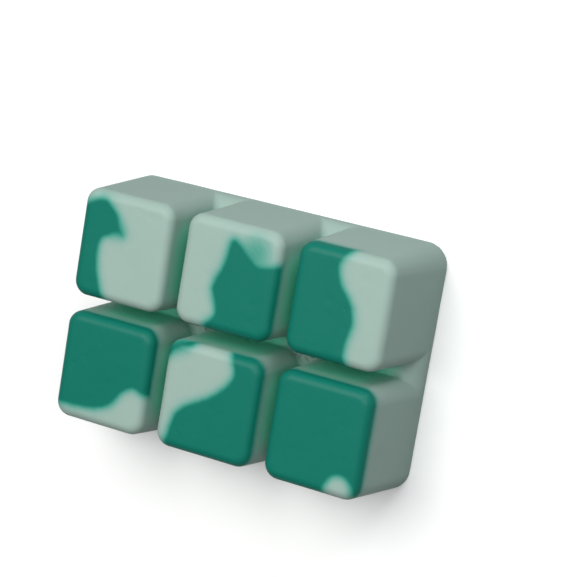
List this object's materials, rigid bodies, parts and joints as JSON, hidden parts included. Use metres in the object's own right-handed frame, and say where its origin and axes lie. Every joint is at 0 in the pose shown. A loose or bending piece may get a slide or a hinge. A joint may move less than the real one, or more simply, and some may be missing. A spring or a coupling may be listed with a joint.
{
  "type": "wax melt snap bar",
  "caption": "Break-apart wax melt bar: rounded, drafted cubes in rows on one thin slab, pale wax with darker wax swirled in at the cubes' faces.",
  "frame": {"origin": "middle of the flat back that the bar lies on", "axes": "+Z out of the cubes' faces, +X along the three columns, +Y from the front row to the back row"},
  "size_m": [0.0808, 0.0568, 0.025],
  "materials": {
    "pale_wax": "cast wax, satin, faint bloom",
    "green_wax": "cast wax, satin"
  },
  "bodies": {
    "front_middle": {"front_middle_cube": "pale_wax", "front_middle_pour": "green_wax", "front_middle_corner_pour": "green_wax"},
    "front_left": {"front_left_cube": "pale_wax", "front_left_pour": "green_wax"},
    "front_right": {"front_right_cube": "pale_wax", "front_right_pour": "green_wax"},
    "back_middle": {"back_middle_cube": "pale_wax", "back_middle_pour": "green_wax"},
    "back_left": {"back_left_cube": "pale_wax", "back_left_pour": "green_wax"},
    "back_right": {"back_right_cube": "pale_wax", "back_right_pour": "green_wax"}
  },
  "joints": [
    {"name": "front_left_pull", "type": "slide", "parent": "front_middle", "child": "front_left", "axis": [-1, 0, 0], "range_m": [0, 0.03]},
    {"name": "front_right_pull", "type": "slide", "parent": "front_middle", "child": "front_right", "axis": [1, 0, 0], "range_m": [0, 0.03]},
    {"name": "back_row_pull", "type": "slide", "parent": "front_middle", "child": "back_middle", "axis": [0, 1, 0], "range_m": [0, 0.03]},
    {"name": "back_left_pull", "type": "slide", "parent": "back_middle", "child": "back_left", "axis": [-1, 0, 0], "range_m": [0, 0.03]},
    {"name": "back_right_pull", "type": "slide", "parent": "back_middle", "child": "back_right", "axis": [1, 0, 0], "range_m": [0, 0.03]}
  ]
}
